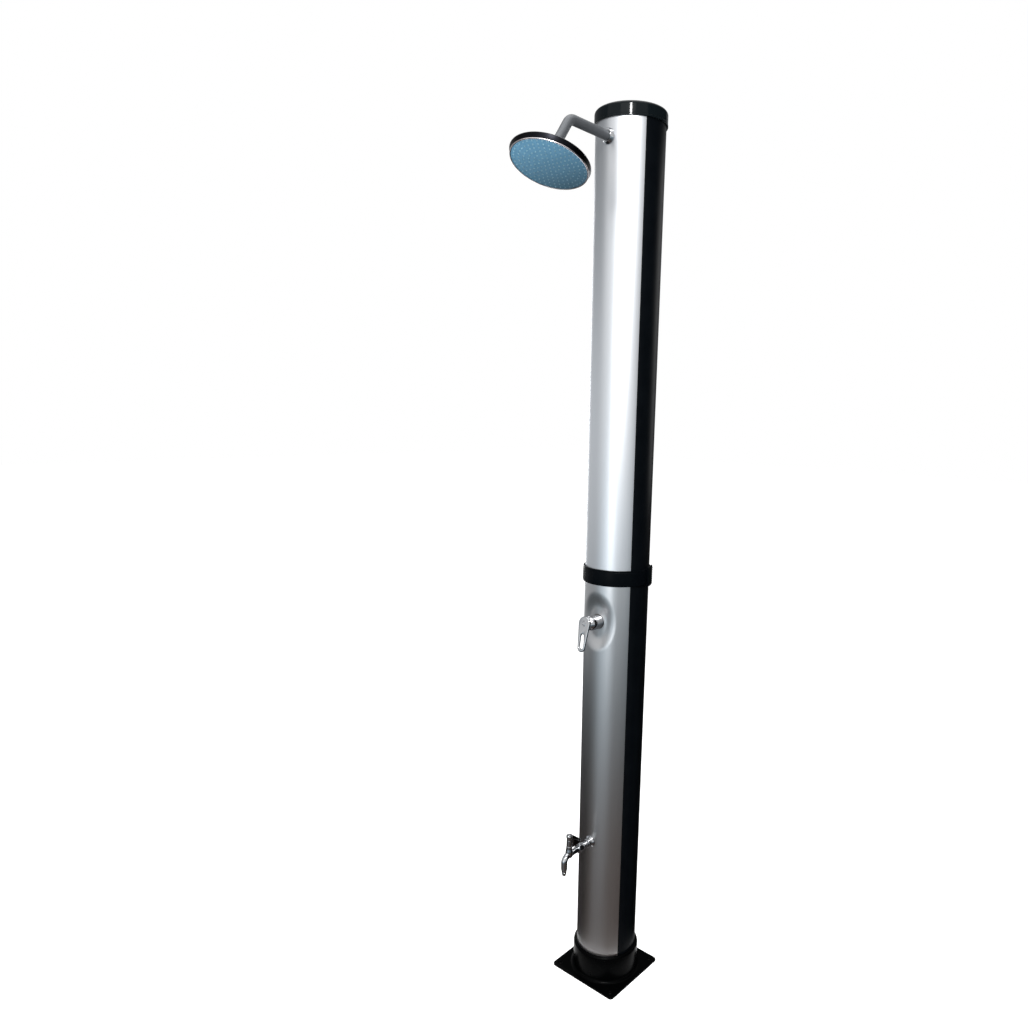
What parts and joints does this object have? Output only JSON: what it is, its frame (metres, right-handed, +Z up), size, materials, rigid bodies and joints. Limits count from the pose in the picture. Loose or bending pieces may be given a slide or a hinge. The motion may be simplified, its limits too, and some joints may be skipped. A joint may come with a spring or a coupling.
{
  "type": "outdoor shower post",
  "caption": "Round water-tank post with an aluminium front, tilting rain head on a bent arm, lever mixer in a recess, foot tap and square floor plate.",
  "frame": {"origin": "centre of the base plate's underside, on the column's axis", "axes": "+Z up along the column, -Y to the front, where arm, mixer and tap stand, +X to the right for someone who faces the front"},
  "size_m": [0.208, 0.451, 2.165],
  "materials": {
    "black_abs": "glossy black ABS",
    "black_pvc": "satin-gloss black PVC",
    "dark_pvc": "matte black PVC",
    "front_upper": "satin anodised sheet",
    "front_lower": "satin anodised sheet",
    "arm_metal": "satin steel tube",
    "chrome_cast": "polished chrome plate",
    "chrome_abs": "chrome-plated ABS",
    "trim_abs": "bright plated ABS",
    "face_abs": "blue-teal ABS",
    "nozzle_rubber": "soft silicone",
    "cast_brass": "raw brass",
    "steel": "zinc-plated steel",
    "stainless": "stainless steel",
    "seal_rubber": "black EPDM",
    "hose_rubber": "grey reinforced hose",
    "white_pom": "white acetal",
    "seat_pom": "black acetal",
    "bracket_steel": "galvanised steel"
  },
  "bodies": {
    "column": {"base_foot": "black_abs", "collar_screws": "stainless", "lower_tank": "black_pvc", "lower_tank_floor": "dark_pvc", "lower_tank_lid": "dark_pvc", "lower_panel": "front_lower", "upper_tank": "black_pvc", "upper_tank_floor": "dark_pvc", "upper_tank_lid": "dark_pvc", "upper_panel": "front_upper", "top_cap": "black_abs", "joint_gasket": "seal_rubber", "joint_core": "dark_pvc", "joint_nipple": "cast_brass", "nipple_seals": "seal_rubber", "joint_band": "black_abs", "band_lug": "black_abs", "band_screw": "stainless", "inlet_connector": "cast_brass", "inlet_seal": "seal_rubber", "inlet_nut": "cast_brass", "inlet_manifold": "cast_brass", "fill_seal": "seal_rubber", "drain_plug": "dark_pvc", "drain_seal": "seal_rubber", "brackets": "bracket_steel", "cold_hose": "hose_rubber", "tap_hose": "hose_rubber", "hot_hose": "hose_rubber", "riser_hose": "hose_rubber", "hot_elbow": "cast_brass", "hot_elbow_nut": "cast_brass", "mixer_body": "cast_brass", "mixer_sleeve": "chrome_cast", "cartridge_body": "white_pom", "tap_elbow": "cast_brass", "tap_flange": "chrome_cast", "tap_body": "chrome_cast", "tap_bonnet": "chrome_cast", "tap_nozzle": "chrome_cast", "arm_elbow": "cast_brass", "arm_flange": "chrome_cast", "shower_arm": "arm_metal", "ball_stud": "chrome_cast"},
    "turner": {"cartridge_spindle": "stainless", "cartridge_pin": "stainless", "mixer_dome": "chrome_cast"},
    "lever": {"mixer_lever": "chrome_cast", "lever_stem": "stainless", "lever_screw": "stainless", "index_cap": "chrome_abs"},
    "tap_turner": {"tap_spindle": "stainless", "tap_handle": "chrome_cast", "tap_screw": "stainless"},
    "seat": {"ball_seat": "seat_pom"},
    "swivel": {"swivel_nut": "chrome_abs"},
    "head": {"head_shell": "chrome_abs", "nozzle_mat": "nozzle_rubber", "head_plate": "face_abs", "trim_ring": "trim_abs"}
  },
  "joints": [
    {"name": "mixer_turn", "type": "hinge", "parent": "column", "child": "turner", "pos_m": [0, -0.096, 1], "axis": [0, -1, 0], "range_deg": [-45, 45]},
    {"name": "mixer_lift", "type": "hinge", "parent": "turner", "child": "lever", "pos_m": [0, -0.096, 1], "axis": [-1, 0, 0], "range_deg": [0, 22]},
    {"name": "tap_turn", "type": "hinge", "parent": "column", "child": "tap_turner", "pos_m": [0, -0.163, 0.44], "axis": [0, 0, 1], "range_deg": [0, 90]},
    {"name": "head_side_tilt", "type": "hinge", "parent": "column", "child": "seat", "pos_m": [0, -0.25675, 2.02837], "axis": [0, 1, 0], "range_deg": [-15, 15]},
    {"name": "head_tilt", "type": "hinge", "parent": "seat", "child": "swivel", "pos_m": [0, -0.25675, 2.02837], "axis": [-1, 0, 0], "range_deg": [-8, 30]},
    {"name": "head_spin", "type": "hinge", "parent": "swivel", "child": "head", "pos_m": [0, -0.25675, 2.02837], "axis": [0, 0.342, 0.9397], "continuous": true}
  ]
}
